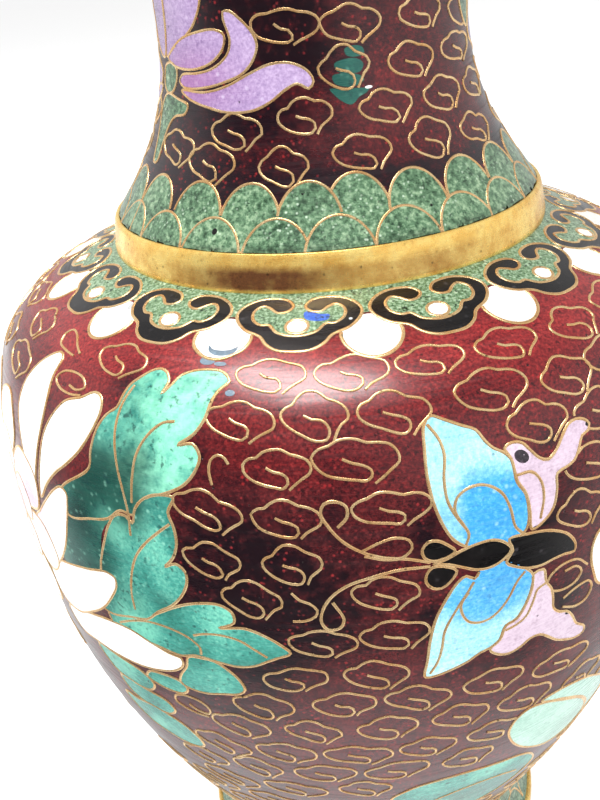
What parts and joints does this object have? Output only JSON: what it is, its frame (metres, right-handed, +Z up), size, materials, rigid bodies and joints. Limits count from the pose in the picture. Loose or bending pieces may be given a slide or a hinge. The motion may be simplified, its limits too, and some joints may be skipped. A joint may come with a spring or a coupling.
{
  "type": "cloisonne vase",
  "caption": "Baluster vase with a trumpet neck, a collar at the neck joint, a round belly and a flared foot, covered in enamel cells between thin wires.",
  "frame": {"origin": "centre of the foot rim, on the surface the vase stands on", "axes": "+Z up along the axis of the vase; the butterfly faces -Y"},
  "size_m": [0.0992, 0.0992, 0.203],
  "materials": {
    "gilt_brass": "worn gilding, satin",
    "copper": "raw copper, dull",
    "gilt_wire": "fine gilt copper wire, polished flush",
    "oxblood_enamel": "dark red-brown enamel, glossy, pitted",
    "green_enamel": "mottled malachite green enamel, glossy",
    "black_enamel": "black enamel, glossy",
    "white_enamel": "white enamel, glossy",
    "blue_enamel": "sky blue enamel fading to pale cyan, glossy",
    "pink_enamel": "pale pink enamel, glossy",
    "leaf_enamel": "turquoise green enamel fading to dark green, glossy",
    "petal_enamel": "white enamel shading to lilac, glossy",
    "lilac_enamel": "lilac enamel, glossy",
    "lining_enamel": "plain turquoise counter enamel, slightly pitted"
  },
  "bodies": {
    "root": {"mouth_rim": "gilt_brass", "neck_shell": "copper", "neck_lining": "lining_enamel", "neck_ground": "oxblood_enamel", "neck_scales": "green_enamel", "scale_wires": "gilt_wire", "neck_petals": "lilac_enamel", "neck_wires": "gilt_wire", "neck_collar": "gilt_brass", "shoulder_shell": "copper", "shoulder_lining": "lining_enamel", "shoulder_ring": "green_enamel", "lappet_bands": "black_enamel", "lappet_fields": "green_enamel", "lappet_ovals": "white_enamel", "lappet_wires": "gilt_wire", "pendants": "white_enamel", "pendant_wires": "gilt_wire", "belly_shell": "copper", "belly_lining": "lining_enamel", "body_ground": "oxblood_enamel", "butterfly_wings": "blue_enamel", "butterfly_body": "black_enamel", "butterfly_tails": "pink_enamel", "butterfly_wires": "gilt_wire", "leaves": "leaf_enamel", "petals": "petal_enamel", "plant_wires": "gilt_wire", "foot_shell": "copper", "foot_enamel": "green_enamel", "foot_rim": "gilt_brass", "base_plate": "copper", "base_enamel": "lining_enamel"}
  },
  "joints": []
}
